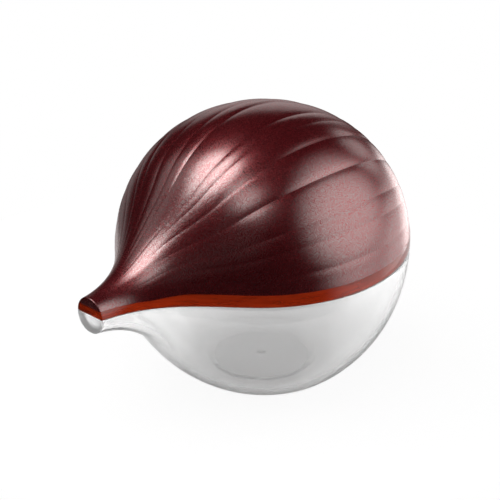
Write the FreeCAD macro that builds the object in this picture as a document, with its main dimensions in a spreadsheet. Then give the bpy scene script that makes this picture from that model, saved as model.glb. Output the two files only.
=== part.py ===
# An onion keeper: an onion-shaped box of two mouldings that part on the plane of the stem.
# The bowl is clear and stands on a flat foot. The lid is ridged like an onion's skin and plugs
# over a thin lip that stands up from the bowl's rim.
# Millimetres. Origin at the middle of the foot, on the table; +X points to the stem, +Z up.
import FreeCAD, Part
import math
import os

from FreeCAD import Vector

doc = FreeCAD.newDocument("OnionKeeper")
sheet = doc.addObject("Spreadsheet::Sheet", "Sizes")

SIZES = (
    ("bulb_half_width", 57.0, "half the width across the bulb"),
    ("root_reach", 63.3, "middle of the bulb to the root end"),
    ("root_flat", 4.0, "radius of the small flat at the root end"),
    ("neck_start", 34.2, "middle of the bulb to where the neck leaves the round shoulder"),
    ("stem_reach", 87.0, "middle of the bulb to the face of the stem"),
    ("stem_half_width", 6.7, "half the width of the stem at its face"),
    ("stem_taper", 5.2, "degrees that the side of the stem runs in towards its face"),
    ("shoulder_pull", 20.5, "length of the neck curve's handle at the shoulder"),
    ("stem_pull", 29.0, "length of the neck curve's handle at the stem"),
    ("flat_cut", 8.1, "depth that the bowl's flat underside cuts off its round"),
    ("bowl_fullness", 1.4, "how far the bowl swells past an ellipse between rim and foot"),
    ("foot_depth", 52.7, "parting plane to the table"),
    ("foot_shift", 1.4, "middle of the foot to the middle of the bulb"),
    ("foot_radius", 20.2, "radius of the flat disc that the bowl stands on"),
    ("foot_flare", 2.6, "how much wider the foot is where it meets the bowl"),
    ("foot_height", 0.8, "how far the foot stands out of the bowl's flattened underside"),
    ("gate_radius", 1.5, "radius of the moulding gate's mark, in the middle of the bowl's floor"),
    ("gate_height", 0.35, "height of that mark"),
    ("lid_wall", 2.2, "wall of the lid"),
    ("bowl_wall", 2.4, "wall of the bowl"),
    ("stem_wall", 2.4, "wall behind the face of the stem"),
    ("skirt_wall", 1.1, "wall of the lid's skirt, outside the lip"),
    ("lip_clearance", 0.3, "play between the skirt and the lip"),
    ("lip_height", 4.5, "height of the lip round the bulb"),
    ("lip_stem_height", 2.2, "height of the lip at the face of the stem"),
    ("lip_slope_start", 42.0, "middle of the bulb to where the lip begins to drop"),
    ("lip_headroom", 0.4, "room over the lip"),
    ("crease_depth", 1.0, "depth of a full crease between two leaves of skin"),
    ("crease_fade", 20.0, "radius about the stem's axis at which the creases run out"),
)
for row, (alias, value, note) in enumerate(SIZES, start=1):
    sheet.set(f"A{row}", alias)
    sheet.set(f"B{row}", str(value))
    sheet.set(f"C{row}", note)
    sheet.setAlias(f"B{row}", alias)
doc.recompute()

# The creases of the lid, from the rim on the +Y side over the top to the rim on the -Y side:
# degrees about the stem's axis, and the crease's depth as a share of a full one.
CREASES = {
    0.0: 0.0, 13.0: 0.45, 24.0: 0.45, 32.0: 0.6, 46.5: 1.0, 60.5: 0.75, 70.5: 0.5, 77.5: 0.8,
    93.5: 1.0, 101.0: 0.7, 111.0: 0.8, 123.5: 0.9, 131.0: 0.6, 143.0: 0.8, 153.0: 0.6, 166.0: 0.4,
    180.0: 0.0,
}
HALF_TURN = 180.0
# Depths under the parting plane, as expressions for the sheet's cells.
UNDERSIDE_DEPTH = "Sizes.foot_depth - Sizes.foot_height"
FLOOR_DEPTH = f"{UNDERSIDE_DEPTH} - Sizes.bowl_wall"
# Widest angle between two meridian curves of a skin, and the curves' own steps.
RIDGED_STEP = 5.5
SMOOTH_STEP = 6.0
NECK_STEPS = 6
SHOULDER_STEPS = 3
BULB_STEPS = 9


def size(alias):
    return float(getattr(sheet, alias))


def inset_station(point, along, inset):
    """A point of the bulb's outline as (x, radius), moved in by inset from where the surface is."""
    inward = Vector(along.y, -along.x, 0).normalize()
    moved = point + inward * inset
    return moved.x, moved.y


def round_station(reach, angle, inset):
    """A station of the round bulb, whose half width is shared and whose end lies at reach."""
    half_width = size("bulb_half_width")
    point = Vector(reach * math.cos(angle), half_width * math.sin(angle), 0)
    along = Vector(reach * math.sin(angle), -half_width * math.cos(angle), 0)
    return inset_station(point, along, inset)


def outline(inset=0.0, stem_inset=0.0):
    """Stations (x, radius) along the bulb's outline, from the face of the stem to the root."""
    half_width = size("bulb_half_width")
    shoulder_end = math.acos(size("neck_start") / half_width)
    root_end = math.pi - math.asin((size("root_flat") + inset) / half_width)
    neck_top = Vector(size("neck_start"), half_width * math.sin(shoulder_end), 0)
    neck_end = Vector(size("stem_reach"), size("stem_half_width"), 0)
    taper = math.radians(size("stem_taper"))
    leave = Vector(math.sin(shoulder_end), -math.cos(shoulder_end), 0)
    arrive = Vector(math.cos(taper), -math.sin(taper), 0)
    neck = Part.BezierCurve()
    neck.setPoles([
        neck_top,
        neck_top + leave * size("shoulder_pull"),
        neck_end - arrive * size("stem_pull"),
        neck_end,
    ])
    start = neck.parameter(neck_end - arrive * stem_inset)
    quarter = math.pi / 2
    stations = []
    for step in range(NECK_STEPS):
        parameter = start * (1 - step / NECK_STEPS)
        point, along = neck.value(parameter), neck.tangent(parameter)[0]
        stations.append(inset_station(point, along, inset))
    for step in range(SHOULDER_STEPS):
        angle = shoulder_end + (quarter - shoulder_end) * step / SHOULDER_STEPS
        stations.append(round_station(half_width, angle, inset))
    for step in range(BULB_STEPS + 1):
        angle = quarter + (root_end - quarter) * step / BULB_STEPS
        stations.append(round_station(size("root_reach"), angle, inset))
    return stations


def meridian(points):
    curve = Part.BSplineCurve()
    curve.interpolate(Points=points, Parameters=[float(i) for i in range(len(points))])
    return curve.toShape()


def plane_face(edges):
    return Part.Face(Part.Wire(Part.__sortEdges__(edges)))


def half_onion(stations, angles, place):
    """A solid half onion: ruled skins between meridian curves, closed by three flat faces."""
    columns = [[place(x, radius, angle) for x, radius in stations] for angle in angles]
    curves = [meridian(points) for points in columns]
    faces = [Part.makeRuledSurface(one, two) for one, two in zip(curves, curves[1:])]
    closing = []
    for end in (0, -1):
        closing.append(Part.makeLine(columns[0][end], columns[-1][end]))
        steps = [Part.makeLine(one[end], two[end]) for one, two in zip(columns, columns[1:])]
        faces.append(plane_face(steps + [closing[-1]]))
    faces.append(plane_face([curves[0], curves[-1]] + closing))
    shell = Part.makeShell(faces)
    shell.sewShape()
    return Part.makeSolid(shell)


def rim_prism(inset, height):
    """A block that stands on the parting plane, with the rim's outline moved in by inset."""
    stations = outline(inset, inset)
    sides = [[Vector(x, side * radius, 0) for x, radius in stations] for side in (1, -1)]
    ends = [Part.makeLine(sides[0][end], sides[1][end]) for end in (0, -1)]
    face = plane_face([meridian(sides[0]), meridian(sides[1])] + ends)
    return face.extrude(Vector(0, 0, height))


def lip_slope(headroom):
    """The room over the lip where it drops towards the face of the stem."""
    low = size("lip_stem_height") + headroom
    high = size("lip_height") + headroom
    reach = size("stem_reach")
    wide = size("bulb_half_width")
    corners = [
        Vector(size("lip_slope_start"), -wide, high),
        Vector(reach, -wide, low),
        Vector(reach, -wide, 2 * high),
        Vector(size("lip_slope_start"), -wide, 2 * high),
    ]
    return Part.Face(Part.makePolygon(corners + corners[:1])).extrude(Vector(0, 2 * wide, 0))


def steps_between(start, end, widest):
    count = math.ceil((end - start) / widest)
    return [start + (end - start) * i / count for i in range(count)]


def ridged_angles():
    """Angles of the lid's meridian curves: each crease, and steps over the leaves between."""
    creases = list(CREASES)
    angles = []
    for start, end in zip(creases, creases[1:]):
        angles += steps_between(start, end, min(RIDGED_STEP, (end - start) / 2))
    return angles + [HALF_TURN]


def ridged_place(x, radius, angle):
    """A point of the lid's outer skin: each leaf is round, and falls into a crease at its edges."""
    start = max(crease for crease in CREASES if crease <= angle and crease < HALF_TURN)
    end = min(crease for crease in CREASES if crease > start)
    share = (angle - start) / (end - start)
    fall = CREASES[start] * (1 - share) ** 3 + CREASES[end] * share ** 3
    fall *= size("crease_depth") * radius / math.hypot(radius, size("crease_fade"))
    turn = math.radians(angle)
    return Vector(x, (radius - fall) * math.cos(turn), (radius - fall) * math.sin(turn))


def round_place(x, radius, angle):
    turn = math.radians(angle)
    return Vector(x, radius * math.cos(turn), radius * math.sin(turn))


def bowl_place(x, radius, angle):
    """A point of the bowl's skin: deeper than it is wide, and a little fuller than an ellipse."""
    turn = math.radians(angle)
    round_depth = size("foot_depth") - size("foot_height") + size("flat_cut")
    depth = round_depth / size("bulb_half_width")
    swell = 1 + size("bowl_fullness") / size("bulb_half_width") * math.sin(2 * turn) ** 2
    return Vector(x, radius * swell * math.cos(turn), -radius * swell * depth * math.sin(turn))


def feature(name, shape):
    made = doc.addObject("Part::Feature", name)
    made.Shape = shape
    return made


def cut(name, base, tool):
    made = doc.addObject("Part::Cut", name)
    made.Base = base
    made.Tool = tool
    return made


def fuse(name, *shapes):
    made = doc.addObject("Part::MultiFuse", name)
    made.Shapes = list(shapes)
    return made


def slab_below(name, depth):
    """A slab whose top lies under the parting plane by the expression depth."""
    made = doc.addObject("Part::Box", name)
    made.setExpression("Length", "4 * Sizes.stem_reach")
    made.setExpression("Width", "4 * Sizes.bulb_half_width")
    made.setExpression("Height", "2 * Sizes.foot_depth")
    made.setExpression("Placement.Base.x", "-2 * Sizes.stem_reach")
    made.setExpression("Placement.Base.y", "-2 * Sizes.bulb_half_width")
    made.setExpression("Placement.Base.z", f"-({depth}) - 2 * Sizes.foot_depth")
    return made


def make_lid():
    """The lid: a ridged dome, with a thin skirt at its rim that goes outside the lip."""
    headroom = size("lip_headroom")
    smooth_angles = steps_between(0, HALF_TURN, SMOOTH_STEP) + [HALF_TURN]
    skin = feature("LidSkin", half_onion(outline(), ridged_angles(), ridged_place))
    hollow_stations = outline(size("lid_wall"), size("stem_wall"))
    hollow = feature("LidHollow", half_onion(hollow_stations, smooth_angles, round_place))
    room = feature("LipRoom", rim_prism(size("skirt_wall"), size("lip_height") + headroom))
    over = feature("LipRoomSlope", lip_slope(headroom))
    socket = cut("LipSocket", room, over)
    dome = cut("LidDome", skin, hollow)
    return cut("Lid", dome, socket)


def make_foot():
    """A low cone under the bowl, narrow end on the table."""
    foot = doc.addObject("Part::Cone", "Foot")
    foot.setExpression("Radius1", "Sizes.foot_radius")
    foot.setExpression("Radius2", "Sizes.foot_radius + Sizes.foot_flare")
    foot.setExpression("Height", "Sizes.foot_height")
    foot.setExpression("Placement.Base.x", "-Sizes.foot_shift")
    foot.setExpression("Placement.Base.z", "-Sizes.foot_depth")
    return foot


def make_gate_mark():
    """A low button on the bowl's floor, over the middle of the foot."""
    mark = doc.addObject("Part::Cylinder", "GateMark")
    mark.setExpression("Radius", "Sizes.gate_radius")
    mark.setExpression("Height", "Sizes.gate_height")
    mark.setExpression("Placement.Base.x", "-Sizes.foot_shift")
    mark.setExpression("Placement.Base.z", f"-({FLOOR_DEPTH})")
    return mark


def make_bowl():
    """The bowl: a clear shell on a flat foot, with a thin lip on the inside of its rim."""
    smooth_angles = steps_between(0, HALF_TURN, SMOOTH_STEP) + [HALF_TURN]
    wall = size("bowl_wall")
    round_skin = feature("BowlRound", half_onion(outline(), smooth_angles, bowl_place))
    block = cut("BowlBlock", round_skin, slab_below("UnderPlane", UNDERSIDE_DEPTH))
    lip_inset = size("skirt_wall") + size("lip_clearance")
    ring = feature("LipBlock", rim_prism(lip_inset, size("lip_height")))
    lip = cut("Lip", ring, feature("LipSlope", lip_slope(0)))
    round_hollow = feature("HollowRound", half_onion(outline(wall, wall), smooth_angles, bowl_place))
    hollow = cut("BowlHollow", round_hollow, slab_below("FloorPlane", FLOOR_DEPTH))
    bore = feature("LipBore", rim_prism(wall, 2 * size("lip_height")))
    shell = cut("BowlShell", fuse("BlockAndLip", block, lip), hollow)
    return fuse("Bowl", cut("OpenBowl", shell, bore), make_foot(), make_gate_mark())


NODES = {"lid": make_lid(), "bowl": make_bowl()}
for node, made in NODES.items():
    made.Label = node
    made.setExpression("Placement.Base.x", "Sizes.foot_shift")
    made.setExpression("Placement.Base.z", "Sizes.foot_depth")
doc.recompute()

for made in doc.Objects:
    if "Invalid" in made.State or "Error" in made.State:
        raise RuntimeError(f"{made.Label} failed: {made.State}")
for node, made in NODES.items():
    if made.Shape.isNull() or not made.Shape.isValid() or len(made.Shape.Solids) != 1:
        raise RuntimeError(f"{node} is not one valid solid")

os.makedirs("parts", exist_ok=True)
for node, made in NODES.items():
    made.Shape.exportStep(f"parts/{node}.step")
    box = made.Shape.BoundBox
    print(f"{node}: {box.XLength:.1f} x {box.YLength:.1f} x {box.ZLength:.1f} mm,"
          f" volume {made.Shape.Volume / 1000:.1f} ml")
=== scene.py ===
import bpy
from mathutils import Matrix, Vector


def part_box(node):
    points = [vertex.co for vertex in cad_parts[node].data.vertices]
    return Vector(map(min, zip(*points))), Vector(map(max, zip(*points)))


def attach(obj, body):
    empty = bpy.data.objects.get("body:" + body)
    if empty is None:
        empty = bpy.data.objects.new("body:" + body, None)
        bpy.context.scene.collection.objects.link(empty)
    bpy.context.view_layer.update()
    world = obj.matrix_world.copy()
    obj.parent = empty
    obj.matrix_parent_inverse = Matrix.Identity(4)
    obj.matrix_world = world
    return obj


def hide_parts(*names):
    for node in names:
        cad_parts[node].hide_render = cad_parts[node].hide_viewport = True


bl_info = {
    "name": "Onion keeper",
    "version": (1, 0, 0),
    "blender": (4, 5, 0),
    "location": "3D View > Sidebar > Onion keeper",
    "description": "Builds an onion-shaped keeper: a pearl-coated lid over a clear bowl",
    "category": "Add Mesh",
}

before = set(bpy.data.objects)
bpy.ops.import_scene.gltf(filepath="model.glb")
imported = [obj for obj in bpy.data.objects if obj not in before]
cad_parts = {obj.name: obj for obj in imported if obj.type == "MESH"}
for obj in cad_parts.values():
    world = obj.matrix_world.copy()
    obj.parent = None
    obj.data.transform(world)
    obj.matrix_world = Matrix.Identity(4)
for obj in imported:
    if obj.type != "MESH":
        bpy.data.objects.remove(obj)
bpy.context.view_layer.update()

import math

import bmesh
import bpy
import numpy as np
from mathutils import Vector

MM = 0.001
LID_LOW, LID_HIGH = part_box("lid")
# The height of the rim, where the lid rests on the bowl.
PARTING = LID_LOW.z
# How far the middle of the bulb lies from the frame's middle, towards the stem.
BULB_MIDDLE = 1.4 * MM
BULB = Vector((BULB_MIDDLE, 0, PARTING))
STEM_REACH = LID_HIGH.x - BULB_MIDDLE

# The lid's creases, from the rim on the +Y side over the top to the rim on the -Y side: degrees
# about the stem's axis, and the crease's depth as a share of a full one.
CREASES = {
    0.0: 0.0, 13.0: 0.45, 24.0: 0.45, 32.0: 0.6, 46.5: 1.0, 60.5: 0.75, 70.5: 0.5, 77.5: 0.8,
    93.5: 1.0, 101.0: 0.7, 111.0: 0.8, 123.5: 0.9, 131.0: 0.6, 143.0: 0.8, 153.0: 0.6, 166.0: 0.4,
    180.0: 0.0,
}
HALF_TURN = 180.0
# Shares of a full crease's depth: how far the leaves lie under the band, how much of a crease is
# the leaves' own roundness, and how much is the narrow valley between them.
LEAF_DROP = 0.22
ROUND_SHARE = 0.42
VALLEY_SHARE = 0.18
# How far the creases drift round on the neck, in degrees, and where that starts and is full, as
# shares of the bulb's half width from its middle.
DRIFT = 10.0
DRIFT_START = 0.75
DRIFT_FULL = 1.12
# Degrees from the band: where the coat's first column may lie, and where the leaves are full.
COLUMN_GAP = 0.3
LEAF_FADE = 3.0
# The band is never higher than this share of the radius.
BAND_LIMIT = 0.55
# The foot's flank, from outside in: shares of its flare and of its height.
FOOT_FLANK = ((0.85, 0.06), (0.15, 0.94))
# How far the foot's blends reach past its flank, and how far past that the underside is opened.
FOOT_BLEND = 0.2 * MM
FOOT_MARGIN = 1.6 * MM
# The gate's mark, from outside in: shares of its radius and of its height.
GATE_MARK = ((1.15, 0), (1.0, 0.2), (0.93, 0.85), (0.8, 1.0), (0.4, 1.0), (0.25, 0.7))
# How far round the mark the floor is opened for it, as a share of its radius.
GATE_OPENING = 2.4
# The middle of a rounded corner lies this share of the rounding from both sides.
CORNER_SHARE = 0.3
# Where two faces meet at more than this angle, the edge between them shows.
SHARP_ANGLE = math.radians(38)

# How finely the skins are divided.
OUTLINE_POINTS = 400
STATIONS = 150
FILLET_STEPS = 4
LEAF_COLUMNS = 15
ROUND_COLUMNS = 72
BOWL_COLUMNS = 210
RING_SHARE = 0.86
DISC_POINTS = 96
FOOT_RINGS = (0.6, 0.2)
# Heights of points over a rim's rounding, and over the band above it, as shares of each.
LID_RIM = (0, 0.25, 0.6, 1.0)
BOWL_RIM = (0, 0.06, 0.2, 0.5, 1.0)
BAND_LEVELS = (1 / 3, 2 / 3, 1.0)
# Metres within which a point lies on a plane, and the least height that anything is divided by.
ON_PLANE = 1e-6
LEAST_HEIGHT = 1e-9

# The lid's finishes, which are also the places of its materials.
COAT = 0
BARE = 1


def length(name, description, millimetres):
    """A size that a user can change, kept in metres and shown in the scene's unit."""
    return bpy.props.FloatProperty(
        name=name, description=description, default=millimetres * MM, unit="LENGTH", precision=5
    )


def linear(hex_colour):
    """An sRGB hex colour as linear red, green, blue and alpha."""
    shares = [int(hex_colour[i:i + 2], 16) / 255 for i in (0, 2, 4)]
    return tuple(
        share / 12.92 if share <= 0.04045 else ((share + 0.055) / 1.055) ** 2.4
        for share in shares
    ) + (1.0,)


def colour(name, description, hex_colour):
    """A colour that a user can change."""
    return bpy.props.FloatVectorProperty(
        name=name, description=description, default=linear(hex_colour),
        subtype="COLOR", size=4, min=0.0, max=1.0,
    )


class KeeperSizes(bpy.types.PropertyGroup):
    half_width: length("Half width", "Half the width across the bulb", 57.0)
    root_reach: length("Root reach", "Middle of the bulb to the root end", 63.3)
    root_flat: length("Root flat", "Radius of the small flat at the root end", 4.0)
    neck_start: length("Neck start", "Middle of the bulb to where the neck leaves the round", 34.2)
    stem_half_width: length("Stem half width", "Half the width of the stem at its face", 6.7)
    stem_taper: bpy.props.FloatProperty(
        name="Stem taper", description="Angle that the stem's side runs in towards its face",
        default=math.radians(5.2), unit="ROTATION",
    )
    shoulder_pull: length("Shoulder pull", "Length of the neck curve's handle at the shoulder", 20.5)
    stem_pull: length("Stem pull", "Length of the neck curve's handle at the stem", 29.0)
    flat_cut: length("Flat cut", "Depth that the flat underside cuts off the bowl's round", 8.1)
    bowl_fullness: length("Bowl fullness", "How far the bowl swells past an ellipse", 1.4)
    foot_radius: length("Foot radius", "Radius of the flat disc that the bowl stands on", 20.2)
    foot_flare: length("Foot flare", "How much wider the foot is where it meets the bowl", 2.6)
    foot_height: length("Foot height", "How far the foot stands out of the underside", 0.8)
    gate_radius: length("Gate radius", "Radius of the moulding gate's mark", 1.5)
    gate_height: length("Gate height", "Height of the moulding gate's mark", 0.35)
    lid_wall: length("Lid wall", "Wall of the lid", 2.2)
    bowl_wall: length("Bowl wall", "Wall of the bowl", 2.4)
    stem_wall: length("Stem wall", "Wall behind the face of the stem", 2.4)
    skirt_wall: length("Skirt wall", "Wall of the lid's skirt, outside the lip", 1.1)
    lip_clearance: length("Lip clearance", "Play between the skirt and the lip", 0.3)
    lip_height: length("Lip height", "Height of the lip round the bulb", 4.5)
    lip_stem_height: length("Lip height at the stem", "Height of the lip at the stem's face", 2.2)
    lip_slope_start: length("Lip slope start", "Middle of the bulb to where the lip drops", 42.0)
    lip_headroom: length("Lip headroom", "Room over the lip", 0.4)
    crease_depth: length("Crease depth", "Depth of a full crease between two leaves", 1.0)
    crease_fade: length("Crease fade", "Radius about the stem's axis where creases run out", 20.0)
    crease_width: length("Crease width", "Half the width of a crease's narrow valley", 1.3)
    band_height: length("Band height", "Height of the uncoated band round the bulb", 4.9)
    band_stem_height: length("Band height at the stem", "Height of the band on the stem", 3.25)
    band_drop_start: length("Band drop start", "Middle of the bulb to where the band drops", 56.0)
    band_drop_end: length("Band drop end", "Middle of the bulb to where the drop ends", 69.0)
    lid_edge: length("Lid edge", "Rounding of the lid's rim", 0.25)
    bowl_edge: length("Bowl edge", "Rounding of the bowl's rim", 0.5)
    stem_edge: length("Stem edge", "Rounding round the face of the stem", 0.5)
    lip_edge: length("Lip edge", "Rounding of the lip's top", 0.2)
    underside_edge: length("Underside edge", "Blend between the bowl's round and its flat", 1.8)


class KeeperColours(bpy.types.PropertyGroup):
    coat: colour("Coat", "Ground colour of the lid's pearl coat", "2C080C")
    flake: colour("Flake", "Colour of the flakes in the pearl coat", "A0282F")
    band: colour("Band", "Tinted plastic of the lid, bare at the rim", "D8481C")
    band_deep: colour("Deep band", "Where the tinted plastic is deeper or thicker", "98240A")
    clear: colour("Clear", "Clear plastic of the bowl", "FBFBFB")
    # The foot's grey is painted shade where the foot stands on the table. Its matt finish is the
    # roughness set in clear_plastic.
    matt_foot_painted_shade: colour("Matt foot", "The clear plastic's foot, where the mould left it matt", "BEBEBE")
    floor: colour("Floor", "Floor of the stage", "E9E9E9")


class Skins:
    """The points and faces of one piece, gathered sheet by sheet."""

    def __init__(self):
        self.points = []
        self.faces = []
        self.finishes = []

    def add(self, sheet):
        """Takes in an array of points, and gives their numbers in the same layout."""
        start = len(self.points)
        self.points.extend(sheet.reshape(-1, 3).tolist())
        return start + np.arange(sheet[..., 0].size).reshape(sheet.shape[:-1])

    def quads(self, rows, finishes=0):
        """Faces between neighbouring rows and columns, with one finish for each gap or for all."""
        finishes = np.broadcast_to(finishes, rows.shape[1] - 1)
        for one, two in zip(rows, rows[1:]):
            for j, finish in enumerate(finishes):
                self.faces.append((one[j], one[j + 1], two[j + 1], two[j]))
                self.finishes.append(finish)

    def ring(self, one, two, finish=0):
        """Faces between two closed loops of as many points."""
        self.quads(np.array([np.append(one, one[0]), np.append(two, two[0])]), finish)

    def close(self, row, strips, coat=0, band=0):
        """A flat end inside a row: strips straight across up to the coat's edge, then one face."""
        last = len(row) - 1
        for j in range(strips):
            self.faces.append((row[j], row[j + 1], row[last - j - 1], row[last - j]))
            self.finishes.append(band)
        self.faces.append(tuple(row[strips:last - strips + 1]))
        self.finishes.append(coat)

    def mesh(self, name):
        mesh = bpy.data.meshes.new(name)
        mesh.from_pydata(self.points, [], [tuple(int(i) for i in face) for face in self.faces])
        mesh.polygons.foreach_set("material_index", np.array(self.finishes, dtype=np.int32))
        mesh.update()
        return mesh


def bezier(poles, steps):
    """Points of a cubic curve through its four poles."""
    share = np.linspace(0, 1, steps)[:, None]
    rest = 1 - share
    return (
        rest ** 3 * poles[0] + 3 * rest ** 2 * share * poles[1]
        + 3 * rest * share ** 2 * poles[2] + share ** 3 * poles[3]
    )


def run_along(points):
    """The distance along a line of points, from its first to each of them."""
    return np.append(0, np.cumsum(np.linalg.norm(np.diff(points, axis=0), axis=1)))


def outward_of(points):
    """Unit vectors that point outward from a line of (x, radius) points."""
    along = np.gradient(points, axis=0)
    along /= np.linalg.norm(along, axis=1, keepdims=True)
    return np.stack([along[:, 1], -along[:, 0]], axis=1)


def parted(stations):
    """The stations' x and radius as columns. The inner rings at both ends get the radius of the
    rings that they lie in."""
    x, radius = stations[:, :1], stations[:, 1:].copy()
    radius[0] = radius[1]
    radius[-1] = radius[-2]
    return x, radius


def outline(sizes, inset):
    """The bulb's outline as (x, radius) from the face of the stem to the root, moved in by inset."""
    half_width = sizes.half_width
    shoulder = math.acos(sizes.neck_start / half_width)
    neck_top = np.array([sizes.neck_start, half_width * math.sin(shoulder)])
    neck_end = np.array([STEM_REACH, sizes.stem_half_width])
    leave = np.array([math.sin(shoulder), -math.cos(shoulder)])
    arrive = np.array([math.cos(sizes.stem_taper), -math.sin(sizes.stem_taper)])
    neck = bezier(
        [neck_end, neck_end - arrive * sizes.stem_pull, neck_top + leave * sizes.shoulder_pull,
         neck_top],
        OUTLINE_POINTS,
    )
    quarter = math.pi / 2
    turns = np.linspace(shoulder, quarter, OUTLINE_POINTS)[1:]
    shoulder_round = half_width * np.stack([np.cos(turns), np.sin(turns)], axis=1)
    root_end = math.pi - math.asin((sizes.root_flat + inset) / half_width)
    turns = np.linspace(quarter, root_end, OUTLINE_POINTS)[1:]
    root_round = np.stack(
        [sizes.root_reach * np.cos(turns), half_width * np.sin(turns)], axis=1
    )
    points = np.concatenate([neck, shoulder_round, root_round])
    return points - outward_of(points) * inset


def path(sizes, inset, end_inset, edge):
    """Stations (x, radius) along a skin: an inner ring on the stem's face, the face's rounded edge,
    the side, and an inner ring on the root's flat. Also gives each station's outward direction."""
    points = outline(sizes, inset)
    face = STEM_REACH - end_inset
    side_start = face - edge
    start_radius = np.interp(side_start, points[::-1, 0], points[::-1, 1])
    points = np.vstack([[side_start, start_radius], points[points[:, 0] < side_start]])
    run = run_along(points)
    stops = np.linspace(0, run[-1], STATIONS)
    side = np.stack([np.interp(stops, run, points[:, i]) for i in (0, 1)], axis=1)
    turns = np.linspace(0, math.pi / 2, FILLET_STEPS + 1)[:-1]
    turned = np.stack([np.cos(turns), np.sin(turns)], axis=1)
    fillet = np.array([side_start, start_radius - edge]) + edge * turned
    ring_start = fillet[:1] * [1, RING_SHARE]
    ring_end = side[-1:] * [1, RING_SHARE]
    stations = np.vstack([ring_start, fillet, side, ring_end])
    outward = np.vstack([[[1, 0]], turned, outward_of(side), [[-1, 0]]])
    return stations, outward


def smooth_step(low, high, value):
    """0 up to low, 1 from high on, and a smooth rise between."""
    share = np.clip((value - low) / (high - low), 0, 1)
    return share * share * (3 - 2 * share)


def edge_inset(depth, edge):
    """How far a rim with a rounded edge stands back at a depth from its flat."""
    inside = np.clip(edge - np.abs(depth), 0, edge)
    return edge - np.sqrt(edge ** 2 - inside ** 2)


def lip_top(sizes, x, headroom):
    """Height of the lip, or of the room over it: level round the bulb, then down the stem."""
    share = np.clip((x - sizes.lip_slope_start) / (STEM_REACH - sizes.lip_slope_start), 0, 1)
    return sizes.lip_height + (sizes.lip_stem_height - sizes.lip_height) * share + headroom


def band_top(sizes, x, radius):
    """Height of the coat's lower edge over the parting plane."""
    drop = smooth_step(sizes.band_drop_start, sizes.band_drop_end, x)
    height = sizes.band_height + (sizes.band_stem_height - sizes.band_height) * drop
    return np.minimum(height, BAND_LIMIT * radius)


def leaf_angles():
    """Angles of the coat's columns on the bulb, close together beside each crease."""
    creases = sorted(CREASES)
    angles = []
    for start, end in zip(creases, creases[1:]):
        for step in range(LEAF_COLUMNS):
            share = (1 - math.cos(math.pi * step / LEAF_COLUMNS)) / 2
            angles.append(start + (end - start) * share)
    return np.array(angles[1:])


def crease_fall(sizes, angles):
    """How deep the skin lies at each angle, as two shares of a full crease: the leaves' own
    roundness, and a narrow soft valley where two leaves meet."""
    creases = np.array(sorted(CREASES))
    depths = np.array([CREASES[crease] for crease in creases])
    leaf = np.clip(np.searchsorted(creases, angles, side="right") - 1, 0, len(creases) - 2)
    share = (angles - creases[leaf]) / (creases[leaf + 1] - creases[leaf])
    round_part = depths[leaf] * (1 - share) ** 3 + depths[leaf + 1] * share ** 3
    width = math.degrees(sizes.crease_width / sizes.half_width)
    valley = np.zeros_like(angles)
    for crease, depth in zip(creases, depths):
        valley = np.maximum(valley, depth * np.exp(-((angles - crease) / width) ** 2))
    return round_part, valley


def lid_skin(sizes, stations, outward):
    """The lid's outer skin: rows along the stations, columns from rim to rim. Columns at both ends
    are the uncoated band, and the rest follow the leaves."""
    x, whole = parted(stations)
    edge = sizes.lid_edge
    top = band_top(sizes, x, whole)
    levels = np.concatenate([
        np.broadcast_to(edge * np.array(LID_RIM), (len(x), len(LID_RIM))),
        edge + (top - edge) * np.array(BAND_LEVELS),
    ], axis=1)
    inset = edge_inset(levels, edge)
    band_y = np.sqrt(whole ** 2 - levels ** 2) - outward[:, 1:] * inset
    band_x = x - outward[:, :1] * inset

    first = math.degrees(math.asin(sizes.band_height / sizes.half_width))
    angles = leaf_angles()
    lowest = first + COLUMN_GAP
    angles = angles[(angles > lowest) & (angles < HALF_TURN - lowest)]
    share = (angles - first) / (HALF_TURN - 2 * first)
    start = np.degrees(np.arcsin(top / whole))
    drift = DRIFT * smooth_step(
        DRIFT_START * sizes.half_width, DRIFT_FULL * sizes.half_width, x
    )
    turn = start + (HALF_TURN - 2 * start) * share + drift * np.sqrt(np.sin(np.pi * share))
    near_band = np.minimum(angles - first, HALF_TURN - first - angles)
    round_part, valley = crease_fall(sizes, angles)
    size = whole / sizes.half_width
    fall = (LEAF_DROP + ROUND_SHARE * round_part) * size + VALLEY_SHARE * valley * size ** 2
    fall *= sizes.crease_depth * smooth_step(0, LEAF_FADE, near_band)
    fall *= whole / np.hypot(whole, sizes.crease_fade)
    turn = np.radians(turn)
    coat_y = (whole - fall) * np.cos(turn)
    coat_z = (whole - fall) * np.sin(turn)
    coat_x = np.broadcast_to(x, coat_y.shape)

    flat_x = np.hstack([band_x, coat_x, band_x[:, ::-1]])
    flat_y = np.hstack([band_y, coat_y, -band_y[:, ::-1]])
    flat_z = np.hstack([levels, coat_z, levels[:, ::-1]])
    for row in (0, -1):
        flat_y[row] *= RING_SHARE
        above = np.maximum(flat_z[row] - top[row], 0)
        flat_z[row] = np.minimum(flat_z[row], top[row]) + above * RING_SHARE
    columns = np.concatenate([np.full(levels.shape[1], first), angles,
                              np.full(levels.shape[1], HALF_TURN - first)])
    return np.stack([flat_x, flat_y, flat_z], axis=2), levels.shape[1] - 1, columns


def hollow_skin(stations, floor, columns):
    """The inside of the dome, from one side of the ledge over the top to the other."""
    x, whole = parted(stations)
    start = np.arcsin(floor / whole)
    turn = start + (np.pi - 2 * start) * np.linspace(0, 1, columns + 1)
    y, z = whole * np.cos(turn), whole * np.sin(turn)
    for row in (0, -1):
        y[row] *= RING_SHARE
        z[row] = floor[row] + (z[row] - floor[row]) * RING_SHARE
    return np.stack([np.broadcast_to(x, y.shape), y, z], axis=2)


def loop(stations, height):
    """A closed loop round the rim's plan: the +Y side from stem to root, and the -Y side back."""
    sides = [
        np.stack([stations[:, 0], side * stations[:, 1], np.broadcast_to(height, len(stations))],
                 axis=1)
        for side in (1, -1)
    ]
    return np.concatenate([sides[0], sides[1][::-1]])


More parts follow.
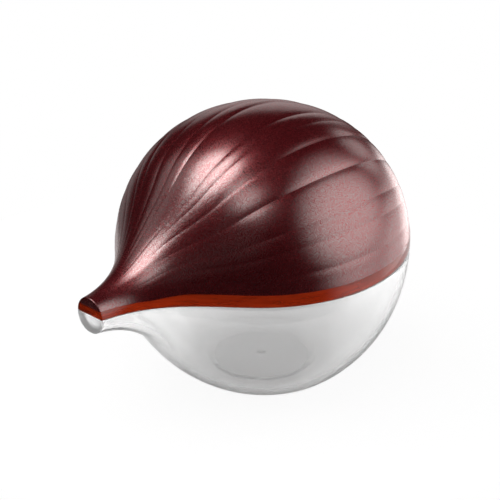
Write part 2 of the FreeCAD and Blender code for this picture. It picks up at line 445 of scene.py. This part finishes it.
def rim_of(rows):
    """The numbers of the points along both rims of a skin, as one closed loop."""
    return np.concatenate([rows[:, 0], rows[::-1, -1]])


def placed(skins, mesh):
    """Moves a mesh from the bulb's own place to where the bulb is, and turns its faces outward."""
    shape = bmesh.new()
    shape.from_mesh(mesh)
    bmesh.ops.translate(shape, verts=shape.verts, vec=BULB)
    bmesh.ops.recalc_face_normals(shape, faces=shape.faces)
    shape.to_mesh(mesh)
    shape.free()
    mesh.shade_smooth()
    mesh.set_sharp_from_angle(angle=SHARP_ANGLE)
    return mesh


def add_piece(mesh, materials, body, node):
    """Puts a finished mesh in the scene in place of its CAD node."""
    piece = bpy.data.objects.new(mesh.name, mesh)
    bpy.context.scene.collection.objects.link(piece)
    for material in materials:
        mesh.materials.append(material)
    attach(piece, body)
    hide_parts(node)
    return piece


def lid_mesh(sizes):
    """The lid: a ridged dome with a plain band at its rim, a hollow, and a skirt's step inside."""
    skins = Skins()
    outside, outward = path(sizes, 0, 0, sizes.stem_edge)
    sheet, band_strips, columns = lid_skin(sizes, outside, outward)
    outer = skins.add(sheet)
    finishes = np.full(outer.shape[1] - 1, COAT)
    finishes[:band_strips] = BARE
    finishes[-band_strips:] = BARE
    skins.quads(outer, finishes)
    skins.close(outer[0], band_strips, COAT, BARE)
    skins.close(outer[-1], band_strips, COAT, BARE)

    skirt, _ = path(sizes, sizes.skirt_wall, sizes.skirt_wall, sizes.lip_edge)
    inside, _ = path(sizes, sizes.lid_wall, sizes.stem_wall, sizes.lip_edge)
    room = lip_top(sizes, skirt[:, 0], sizes.lip_headroom)
    skirt_low = skins.add(loop(skirt, 0))
    skirt_high = skins.add(loop(skirt, room))
    floor = lip_top(sizes, inside[:, :1], sizes.lip_headroom)
    hollow = skins.add(hollow_skin(inside, floor, ROUND_COLUMNS))
    skins.ring(rim_of(outer), skirt_low, BARE)
    skins.ring(skirt_low, skirt_high, BARE)
    skins.ring(skirt_high, rim_of(hollow), BARE)
    skins.quads(hollow, BARE)
    skins.close(hollow[0], 0, BARE, BARE)
    skins.close(hollow[-1], 0, BARE, BARE)

    run = run_along(outside)
    grain = np.zeros((len(skins.points), 2))
    grain[outer.ravel(), 0] = np.repeat(run / run[-1], outer.shape[1])
    grain[outer.ravel(), 1] = np.tile(columns / HALF_TURN, len(outer))
    mesh = placed(skins, skins.mesh("lid_shell"))
    corners = np.zeros(len(mesh.loops), dtype=np.int32)
    mesh.loops.foreach_get("vertex_index", corners)
    layer = mesh.uv_layers.new(name="grain")
    layer.uv.foreach_set("vector", grain[corners].ravel())
    return mesh


def bowl_skin(sizes, stations, outward, plane, edge):
    """A skin of the bowl, from the rim on the +Y side under the bulb to the other rim, cut off flat
    at the plane's depth."""
    x, whole = parted(stations)
    round_depth = PARTING - sizes.foot_height + sizes.flat_cut
    depth = round_depth / sizes.half_width
    rim = np.arcsin(edge * np.array(BOWL_RIM) / (whole * depth))
    rest = rim[:, -1:] + (np.pi - 2 * rim[:, -1:]) * np.linspace(0, 1, BOWL_COLUMNS + 1)[1:-1]
    turn = np.hstack([rim, rest, np.pi - rim[:, ::-1]])
    swell = 1 + sizes.bowl_fullness / sizes.half_width * np.sin(2 * turn) ** 2
    y, z = whole * swell * np.cos(turn), whole * swell * depth * np.sin(turn)
    blend = sizes.underside_edge
    # A smooth minimum: within the blend, the round eases into the flat by a cubic curve.
    near = np.maximum(blend - np.abs(z - plane), 0) / blend
    flat = np.minimum(z, plane) - near ** 3 * blend / 6
    y = y * np.where(z > 0, flat / np.maximum(z, LEAST_HEIGHT), 1)
    inset = edge_inset(flat, edge) if edge else np.zeros_like(flat)
    y -= np.sign(y) * outward[:, 1:] * inset
    x = x - outward[:, :1] * inset
    for row in (0, -1):
        y[row] *= RING_SHARE
        level = flat[row][len(rim[0]) - 1]
        flat[row] = np.minimum(flat[row], level) + np.maximum(flat[row] - level, 0) * RING_SHARE
    return np.stack([x, y, -flat], axis=2), rim.shape[1] - 1


def add_disc(mesh, centre, hole, level, rings):
    """Opens a hole in a flat part of a mesh and fills it with a round one: rings of radius and
    height, given from the outside in and closed in the middle."""
    shape = bmesh.new()
    shape.from_mesh(mesh)
    middle = Vector((centre, 0))
    inside = [
        face for face in shape.faces
        if all(abs(vert.co.z - level) < ON_PLANE and (vert.co.xy - middle).length < hole
               for vert in face.verts)
    ]
    bmesh.ops.delete(shape, geom=inside, context="FACES")
    open_edges = [edge for edge in shape.edges if edge.is_boundary]
    turns = [2 * math.pi * i / DISC_POINTS for i in range(DISC_POINTS)]
    loops = [
        [shape.verts.new((centre + radius * math.cos(turn), radius * math.sin(turn), height))
         for turn in turns]
        for radius, height in rings
    ]
    first = loops[0]
    open_edges += [shape.edges.new((first[i - 1], first[i])) for i in range(DISC_POINTS)]
    bmesh.ops.triangle_fill(shape, edges=open_edges, use_beauty=True)
    for one, two in zip(loops, loops[1:]):
        for i in range(DISC_POINTS):
            shape.faces.new((one[i - 1], one[i], two[i], two[i - 1]))
    tip = shape.verts.new((centre, 0, rings[-1][1]))
    for i in range(DISC_POINTS):
        shape.faces.new((loops[-1][i - 1], loops[-1][i], tip))
    shape.to_mesh(mesh)
    shape.free()


def bowl_mesh(sizes):
    """The bowl: a shell with a flat underside, a low foot, a lip in its rim and a gate mark."""
    skins = Skins()
    wall = sizes.bowl_wall
    underside = PARTING - sizes.foot_height
    floor = underside - wall
    outside, outward = path(sizes, 0, 0, sizes.stem_edge)
    sheet, strips = bowl_skin(sizes, outside, outward, underside, sizes.bowl_edge)
    outer = skins.add(sheet)
    skins.quads(outer)
    skins.close(outer[0], strips)
    skins.close(outer[-1], strips)
    inside, outward = path(sizes, wall, wall, sizes.lip_edge)
    sheet, strips = bowl_skin(sizes, inside, outward, floor, 0)
    hollow = skins.add(sheet)
    skins.quads(hollow)
    skins.close(hollow[0], strips)
    skins.close(hollow[-1], strips)

    lip_inset = sizes.skirt_wall + sizes.lip_clearance
    edge = sizes.lip_edge
    corner = CORNER_SHARE * edge
    previous = rim_of(outer)
    for inset, drop in (
        (lip_inset, None), (lip_inset, edge), (lip_inset + corner, corner),
        (lip_inset + edge, 0), (wall - edge, 0), (wall - corner, corner), (wall, edge),
    ):
        stations, _ = path(sizes, inset, inset, edge)
        top = lip_top(sizes, stations[:, 0], 0)
        height = 0 if drop is None else np.concatenate([top, top[::-1]]) - drop
        points = loop(stations, 0)
        points[:, 2] = height
        numbers = skins.add(points)
        skins.ring(previous, numbers)
        previous = numbers
    skins.ring(previous, rim_of(hollow))

    mesh = skins.mesh("bowl_shell")
    foot, flare, rise = sizes.foot_radius, sizes.foot_flare, sizes.foot_height
    rings = [(foot + flare + FOOT_BLEND, -underside)]
    rings += [(foot + out * flare, -underside - down * rise) for out, down in FOOT_FLANK]
    rings += [(foot - FOOT_BLEND, -PARTING)]
    rings += [(share * foot, -PARTING) for share in FOOT_RINGS]
    add_disc(mesh, -BULB_MIDDLE, foot + flare + FOOT_MARGIN, -underside, rings)
    mark, high = sizes.gate_radius, sizes.gate_height
    rings = [(across * mark, -floor + up * high) for across, up in GATE_MARK]
    add_disc(mesh, -BULB_MIDDLE, GATE_OPENING * mark, -floor, rings)
    return placed(skins, mesh)


def add_node(material, kind, settings=None, links=None):
    """Adds a node: settings by name for its sockets or properties, and links from other outputs."""
    tree = material.node_tree
    node = tree.nodes.new(kind)
    for name, value in (settings or {}).items():
        if isinstance(name, int) or name in node.inputs:
            node.inputs[name].default_value = value
        else:
            setattr(node, name, value)
    for name, output in (links or {}).items():
        tree.links.new(output, node.inputs[name])
    return node


def combine(material, operation, *values):
    """A Math node's output. Each value is a number or another node's output."""
    numbers = {i: value for i, value in enumerate(values) if isinstance(value, (int, float))}
    outputs = {i: value for i, value in enumerate(values) if i not in numbers}
    settings = {"operation": operation, **numbers}
    return add_node(material, "ShaderNodeMath", settings, outputs).outputs[0]


def fade(material, gone, full, value):
    """An output that is 0 where a value has reached gone, 1 where it has reached full, and changes
    evenly between."""
    return add_node(material, "ShaderNodeMapRange", {"From Min": gone, "From Max": full},
                    {"Value": value}).outputs["Result"]


def new_material(name):
    """An empty material."""
    material = bpy.data.materials.new(name)
    material.use_nodes = True
    material.node_tree.nodes.clear()
    return material


# Sizes of the patterns in the materials, as they are drawn.
FLAKE_SIZE = 0.11 * MM
STREAK_SIZE = (12 * MM, 12 * MM, 1.0 * MM)
FLOW_SIZE = 14 * MM
GRIT_SIZE = 1.1 * MM
CRUMB_SIZE = 1.3 * MM
# The draws between which a flake of the coat goes from fine to coarse.
FINE_DRAW = 0.35
COARSE_DRAW = 0.95
FLAKE_TILT = 0.1
# Where the clear plastic is matt or broken: gone at the first distance and full at the second.
MATT_RADIUS = (20.6 * MM, 19.6 * MM)
MATT_HEIGHT = (1.2 * MM, 0.4 * MM)
GATE_RADIUS = (2.6 * MM, 1.8 * MM)
FACE_PLACE = (LID_HIGH.x - 1.2 * MM, LID_HIGH.x - 0.4 * MM)
# How matt the foot is, as a share of the stem's face.
FOOT_MATTNESS = 0.45


def satin_pearl_coat(colours):
    """Pearl lacquer sprayed on the plastic: mica flakes skinned with iron oxide in a wine-red ground.
    The smooth skin's IOR of about 3 gives the strong rosy highlights, coarser red flakes between
    spread a wine-red glow round them, and where nothing bright is near the coat goes nearly black."""
    material = new_material("satin_pearl_coat")
    place = add_node(material, "ShaderNodeTexCoord")
    # Flakes are a few hundredths of a millimetre; they are drawn at 0.11 mm so that they show.
    flakes = add_node(material, "ShaderNodeTexVoronoi", {"Scale": 1 / FLAKE_SIZE},
                      {"Vector": place.outputs["Object"]})
    draw = add_node(material, "ShaderNodeSeparateColor", links={"Color": flakes.outputs["Color"]})
    coarse = fade(material, FINE_DRAW, COARSE_DRAW, draw.outputs["Red"])
    tint = add_node(material, "ShaderNodeMix",
                    {"data_type": "RGBA", 6: colours.coat, 7: colours.flake}, {0: coarse})
    sheen = add_node(material, "ShaderNodeMapRange", {"To Min": 0.16, "To Max": 0.38},
                     {"Value": coarse})
    grain = add_node(material, "ShaderNodeUVMap", {"uv_map": "grain"})
    # Fine lines along the leaves, about 0.6 mm apart on the bulb.
    stretch = add_node(material, "ShaderNodeMapping", {"Scale": (6.0, 300.0, 1.0)},
                       {"Vector": grain.outputs["UV"]})
    lines = add_node(material, "ShaderNodeTexNoise",
                     {"noise_dimensions": "2D", "Scale": 1.0, "Detail": 2.0},
                     {"Vector": stretch.outputs["Vector"]})
    relief = add_node(material, "ShaderNodeBump", {"Strength": 0.1, "Distance": 0.1 * MM},
                      {"Height": lines.outputs["Fac"]})
    # Each flake lies at an angle of its own, up to about 3 degrees, which softens every mirror image.
    lie = add_node(material, "ShaderNodeVectorMath",
                   {"operation": "MULTIPLY_ADD", 1: (FLAKE_TILT,) * 3, 2: (-FLAKE_TILT / 2,) * 3},
                   {0: flakes.outputs["Color"]})
    tilted = add_node(material, "ShaderNodeVectorMath", {"operation": "ADD"},
                      {0: relief.outputs["Normal"], 1: lie.outputs["Vector"]})
    facing = add_node(material, "ShaderNodeVectorMath", {"operation": "NORMALIZE"},
                      {0: tilted.outputs["Vector"]})
    shader = add_node(material, "ShaderNodeBsdfPrincipled",
                      {"IOR": 3.0, "Specular Tint": (1.0, 0.87, 0.85, 1.0)},
                      {"Base Color": tint.outputs[2], "Metallic": coarse,
                       "Roughness": sheen.outputs["Result"],
                       "Normal": facing.outputs["Vector"]})
    add_node(material, "ShaderNodeOutputMaterial", links={"Surface": shader.outputs["BSDF"]})
    return material


def tinted_plastic(colours):
    """Moulded styrene tinted orange-red: the lid's own plastic, bare at the rim and inside.
    It glows where light comes through the rim and goes deep red under the coat."""
    material = new_material("tinted_moulded_styrene")
    place = add_node(material, "ShaderNodeTexCoord")
    # Streaks along the rim, where the plastic flowed round it: 12 mm long and 1 mm high.
    stretch = add_node(material, "ShaderNodeMapping",
                       {"Scale": tuple(1 / size for size in STREAK_SIZE)},
                       {"Vector": place.outputs["Object"]})
    flow = add_node(material, "ShaderNodeTexNoise", {"Scale": 1.0, "Detail": 2.0},
                    {"Vector": stretch.outputs["Vector"]})
    tint = add_node(material, "ShaderNodeMix",
                    {"data_type": "RGBA", 6: colours.band, 7: colours.band_deep},
                    {0: flow.outputs["Fac"]})
    shader = add_node(material, "ShaderNodeBsdfPrincipled",
                      {"Roughness": 0.12, "IOR": 1.59, "Transmission Weight": 0.55},
                      {"Base Color": tint.outputs[2]})
    add_node(material, "ShaderNodeOutputMaterial", links={"Surface": shader.outputs["BSDF"]})
    return material


def clear_plastic(colours):
    """Moulded clear styrene-acrylonitrile, polished: nearly colourless, with a little haze and the
    glints and grey edges of thick plastic. Faint flow marks keep its mirror images from being
    perfect, the mould left the foot and the stem's face matt, and the gate's mark is broken. The
    foot's grey specks are painted shade where it stands on the table.
    For the lamps' light it is an open way that lets through about four fifths."""
    material = new_material("clear_moulded_plastic")
    place = add_node(material, "ShaderNodeTexCoord")
    flow = add_node(material, "ShaderNodeTexNoise", {"Scale": 1 / FLOW_SIZE, "Detail": 1.0},
                    {"Vector": place.outputs["Object"]})
    relief = add_node(material, "ShaderNodeBump", {"Strength": 0.08, "Distance": 0.5 * MM},
                      {"Height": flow.outputs["Fac"]})
    parts = add_node(material, "ShaderNodeSeparateXYZ", links={0: place.outputs["Object"]})
    flat = add_node(material, "ShaderNodeVectorMath", {"operation": "MULTIPLY", 1: (1, 1, 0)},
                    {0: place.outputs["Object"]})
    off_middle = add_node(material, "ShaderNodeVectorMath", {"operation": "LENGTH"},
                          {0: flat.outputs["Vector"]})
    # Where the foot is: rougher there, and tinted grey as painted shade where it stands on the table.
    foot = combine(material, "MULTIPLY", fade(material, *MATT_RADIUS, off_middle.outputs["Value"]),
                   fade(material, *MATT_HEIGHT, parts.outputs["Z"]))
    # The foot's grey lies in uneven specks and is painted shade where the foot stands on the table.
    # The broken gate in its middle stays clear.
    grit = add_node(material, "ShaderNodeTexNoise", {"Scale": 1 / GRIT_SIZE, "Detail": 2.0},
                    {"Vector": place.outputs["Object"]})
    gate = fade(material, *GATE_RADIUS, off_middle.outputs["Value"])
    gritty_painted_shade = combine(material, "MAXIMUM", combine(material, "SUBTRACT", grit.outputs["Fac"], gate), 0)
    tint = add_node(material, "ShaderNodeMix",
                    {"data_type": "RGBA", 6: colours.clear, 7: colours.matt_foot_painted_shade},
                    {0: combine(material, "MULTIPLY", foot, gritty_painted_shade)})
    crumbs = add_node(material, "ShaderNodeTexVoronoi", {"Scale": 1 / CRUMB_SIZE},
                      {"Vector": place.outputs["Object"]})
    broken = combine(material, "MULTIPLY", gate, crumbs.outputs["Distance"])
    glitter = add_node(material, "ShaderNodeBump", {"Strength": 1.0, "Distance": 0.15 * MM},
                       {"Height": broken, "Normal": relief.outputs["Normal"]})
    face = fade(material, *FACE_PLACE, parts.outputs["X"])
    unpolished = combine(material, "MAXIMUM",
                         combine(material, "MULTIPLY", foot, FOOT_MATTNESS), face)
    rough = add_node(material, "ShaderNodeMapRange", {"To Min": 0.05, "To Max": 0.7},
                     {"Value": unpolished})
    shader = add_node(material, "ShaderNodeBsdfPrincipled",
                      {"IOR": 1.57, "Transmission Weight": 0.91},
                      {"Base Color": tint.outputs[2], "Roughness": rough.outputs["Result"],
                       "Normal": glitter.outputs["Normal"]})
    ray = add_node(material, "ShaderNodeLightPath")
    open_way = add_node(material, "ShaderNodeBsdfTransparent", {"Color": (0.79, 0.79, 0.79, 1)})
    both = add_node(material, "ShaderNodeMixShader",
                    links={0: ray.outputs["Is Shadow Ray"], 1: shader.outputs["BSDF"],
                           2: open_way.outputs["BSDF"]})
    add_node(material, "ShaderNodeOutputMaterial", links={"Surface": both.outputs["Shader"]})
    return material


def white_floor(colours):
    """A matt white table: bright to the eye, and grey only where the keeper stands in its light.
    Its shadow shows faintly beside the keeper, and more through the clear plastic."""
    material = new_material("matt_white_table")
    matt = add_node(material, "ShaderNodeBsdfDiffuse", {"Color": colours.floor})
    glow = add_node(material, "ShaderNodeEmission", {"Color": (1, 1, 1, 1), "Strength": TABLE_GLOW})
    ray = add_node(material, "ShaderNodeLightPath")
    mirrored = combine(material, "MAXIMUM",
                       ray.outputs["Is Glossy Ray"], ray.outputs["Is Transmission Ray"])
    share = combine(material, "MULTIPLY_ADD", ray.outputs["Is Camera Ray"], SEEN_GLOW,
                    combine(material, "MULTIPLY", mirrored, MIRRORED_GLOW))
    both = add_node(material, "ShaderNodeMixShader",
                    links={0: share, 1: matt.outputs["BSDF"], 2: glow.outputs["Emission"]})
    add_node(material, "ShaderNodeOutputMaterial", links={"Surface": both.outputs["Shader"]})
    return material


def direction(azimuth, elevation):
    """A unit vector, from degrees round from +X and degrees up."""
    turn, lift = math.radians(azimuth), math.radians(elevation)
    return Vector((math.cos(turn) * math.cos(lift), math.sin(turn) * math.cos(lift), math.sin(lift)))


CAMERA_AZIMUTH = 44.17
CAMERA_ELEVATION = 24.45
CAMERA_DISTANCE = 550.4 * MM
CAMERA_LENS = 100.07
AIM_RIGHT = -3.6 * MM
AIM_UP = -2.62 * MM
# The table: its glow, where 1 is white, and the share of it that no shadow dims, seen by the
# camera, and in a mirror image or through plastic.
TABLE_RADIUS = 160 * MM
TABLE_PLACE = (-25 * MM, -35 * MM, -0.1 * MM)
TABLE_GLOW = 1.03
SEEN_GLOW = 0.9
MIRRORED_GLOW = 0.1
# The overhead soft box: its height over the bulb in metres, its place and size as shares of that.
KEY_HEIGHT = 0.8
KEY_PLACE = (0.4, -0.27, 1.0)
KEY_SIZE = (1.2, 1.75)
KEY_LEVEL = 2.6
# The side panel: where it stands, seen from the bulb, and its size, in degrees and metres.
PANEL_AZIMUTH = 130
PANEL_DISTANCE = 0.9
PANEL_LIFT = 0.37
PANEL_SIZE = (1.8, 1.4)
PANEL_LEVEL = 0.9
# The world's level, as light and as the dark between the patches in mirror images.
AMBIENT = 0.12
MIRRORED_DARK = 0.004

# What the keeper mirrors in place of the lamps, which mirror images leave out: (azimuth, elevation,
# full within, gone beyond, level). The room is bright behind the keeper and dark in front of it.
ROOM = (
    (-46, 61, 11, 21, 4.8),
    (32, 26, 3, 20, 0.05),
    (28, 59, 2, 16, 1.8),
    (-72, 34, 5, 19, 0.5),
    (130, 20, 10, 47, 1.75),
    (138, -10, 14, 44, 1.0),
    (-137, 8, 6, 22, 0.7),
    (-112, -12, 5, 16, 0.3),
    (-165, -18, 6, 18, 3.1),
    (-172, 13, 3, 14, 1.0),
    (175, -22, 12, 34, 1.5),
    (40, 55, 5, 22, 0.2),
)


def light_world():
    """White to the eye and through clear plastic, a soft grey light, and for mirror images a studio
    of soft patches that is bright behind the keeper and dark in front of it."""
    world = bpy.data.worlds.new("studio")
    bpy.context.scene.world = world
    world.use_nodes = True
    world.node_tree.nodes.clear()
    place = add_node(world, "ShaderNodeTexCoord")
    mirrored = None
    for azimuth, elevation, full, gone, level in ROOM:
        facing = add_node(world, "ShaderNodeVectorMath",
                          {"operation": "DOT_PRODUCT", 1: direction(azimuth, elevation)},
                          {0: place.outputs["Generated"]})
        patch = add_node(world, "ShaderNodeMapRange",
                         {"interpolation_type": "SMOOTHSTEP",
                          "From Min": math.cos(math.radians(gone)),
                          "From Max": math.cos(math.radians(full)), "To Max": level},
                         {"Value": facing.outputs["Value"]}).outputs["Result"]
        if mirrored is None:
            mirrored = patch
        else:
            mirrored = combine(world, "MAXIMUM", mirrored, patch)
    mirrored = combine(world, "ADD", mirrored, MIRRORED_DARK)
    ray = add_node(world, "ShaderNodeLightPath")
    seen = combine(world, "MAXIMUM", ray.outputs["Is Camera Ray"], ray.outputs["Is Transmission Ray"])
    # A ray that went through plastic sees white also after it has been mirrored inside.
    inner = combine(world, "MINIMUM", ray.outputs["Transmission Depth"], 1.0)
    level = add_node(world, "ShaderNodeMix", {"data_type": "FLOAT", 2: AMBIENT},
                     {0: ray.outputs["Is Glossy Ray"], 3: mirrored})
    strength = add_node(world, "ShaderNodeMix", {"data_type": "FLOAT", 3: 1.0},
                        {0: combine(world, "MAXIMUM", seen, inner), 2: level.outputs[0]})
    back = add_node(world, "ShaderNodeBackground", {"Color": (1, 1, 1, 1)},
                    {"Strength": strength.outputs[0]})
    add_node(world, "ShaderNodeOutputWorld", links={"Surface": back.outputs["Background"]})


def add_lamp(name, place, aim, size, level):
    """A soft box that is as bright as level all over, wherever it is and however large. It gives
    light but no mirror image, which the patches in ROOM stand in for."""
    lamp = bpy.data.lights.new(name, "AREA")
    lamp.shape = "RECTANGLE"
    lamp.size, lamp.size_y = size
    lamp.energy = level * math.pi * size[0] * size[1]
    holder = bpy.data.objects.new(name, lamp)
    holder.location = place
    holder.rotation_euler = (place - aim).to_track_quat("Z", "Y").to_euler()
    holder.visible_glossy = False
    bpy.context.scene.collection.objects.link(holder)


def add_floor(colours):
    """The table, just under the keeper's foot."""
    mesh = bpy.data.meshes.new("table")
    shape = bmesh.new()
    bmesh.ops.create_circle(shape, cap_ends=True, segments=DISC_POINTS, radius=TABLE_RADIUS)
    shape.to_mesh(mesh)
    shape.free()
    mesh.materials.append(white_floor(colours))
    floor = bpy.data.objects.new("table", mesh)
    floor.location = TABLE_PLACE
    bpy.context.scene.collection.objects.link(floor)


def add_camera():
    """The camera, at the photograph's angle and distance."""
    away = direction(CAMERA_AZIMUTH, CAMERA_ELEVATION)
    right = Vector((0, 0, 1)).cross(away).normalized()
    up = away.cross(right)
    aim = BULB + right * AIM_RIGHT + up * AIM_UP
    camera = bpy.data.cameras.new("camera")
    camera.lens = CAMERA_LENS
    camera.sensor_width = 36.0
    holder = bpy.data.objects.new("camera", camera)
    holder.location = aim + away * CAMERA_DISTANCE
    holder.rotation_euler = away.to_track_quat("Z", "Y").to_euler()
    bpy.context.scene.collection.objects.link(holder)
    bpy.context.scene.camera = holder


class KEEPER_OT_lid(bpy.types.Operator):
    """Build the pearl-coated lid"""

    bl_idname = "keeper.lid"
    bl_label = "Lid"

    def execute(self, context):
        scene = context.scene
        materials = [satin_pearl_coat(scene.keeper_colours), tinted_plastic(scene.keeper_colours)]
        add_piece(lid_mesh(scene.keeper_sizes), materials, "lid", "lid")
        return {"FINISHED"}


class KEEPER_OT_bowl(bpy.types.Operator):
    """Build the clear bowl"""

    bl_idname = "keeper.bowl"
    bl_label = "Bowl"

    def execute(self, context):
        scene = context.scene
        materials = [clear_plastic(scene.keeper_colours)]
        add_piece(bowl_mesh(scene.keeper_sizes), materials, "bowl", "bowl")
        return {"FINISHED"}


class KEEPER_OT_stage(bpy.types.Operator):
    """Set up the table, the studio light and the camera"""

    bl_idname = "keeper.stage"
    bl_label = "Stage"

    def execute(self, context):
        context.scene.view_settings.view_transform = "Standard"
        light_world()
        key_place = BULB + Vector(KEY_PLACE) * KEY_HEIGHT
        add_lamp("overhead_soft_box", key_place, key_place - Vector((0, 0, 1)),
                 [share * KEY_HEIGHT for share in KEY_SIZE], KEY_LEVEL)
        side = direction(PANEL_AZIMUTH, 0)
        side_place = BULB + side * PANEL_DISTANCE + Vector((0, 0, PANEL_LIFT))
        add_lamp("side_panel", side_place, side_place - side, PANEL_SIZE, PANEL_LEVEL)
        add_floor(context.scene.keeper_colours)
        add_camera()
        return {"FINISHED"}


class KEEPER_PT_parts(bpy.types.Panel):
    bl_idname = "KEEPER_PT_parts"
    bl_label = "Onion keeper"
    bl_space_type = "VIEW_3D"
    bl_region_type = "UI"
    bl_category = "Onion keeper"

    def draw(self, context):
        """A button for each operator, and a field for each size and colour."""
        column = self.layout.column()
        for operator in OPERATORS:
            column.operator(operator.bl_idname)
        for group in (context.scene.keeper_sizes, context.scene.keeper_colours):
            for name in group.__annotations__:
                column.prop(group, name)


OPERATORS = (KEEPER_OT_lid, KEEPER_OT_bowl, KEEPER_OT_stage)
CLASSES = (KeeperSizes, KeeperColours) + OPERATORS + (KEEPER_PT_parts,)


def register():
    for item in CLASSES:
        bpy.utils.register_class(item)
    bpy.types.Scene.keeper_sizes = bpy.props.PointerProperty(type=KeeperSizes)
    bpy.types.Scene.keeper_colours = bpy.props.PointerProperty(type=KeeperColours)


def unregister():
    del bpy.types.Scene.keeper_colours
    del bpy.types.Scene.keeper_sizes
    for item in reversed(CLASSES):
        bpy.utils.unregister_class(item)


def main():
    register()
    bpy.ops.keeper.lid()
    bpy.ops.keeper.bowl()
    bpy.ops.keeper.stage()


if __name__ == "__main__":
    main()
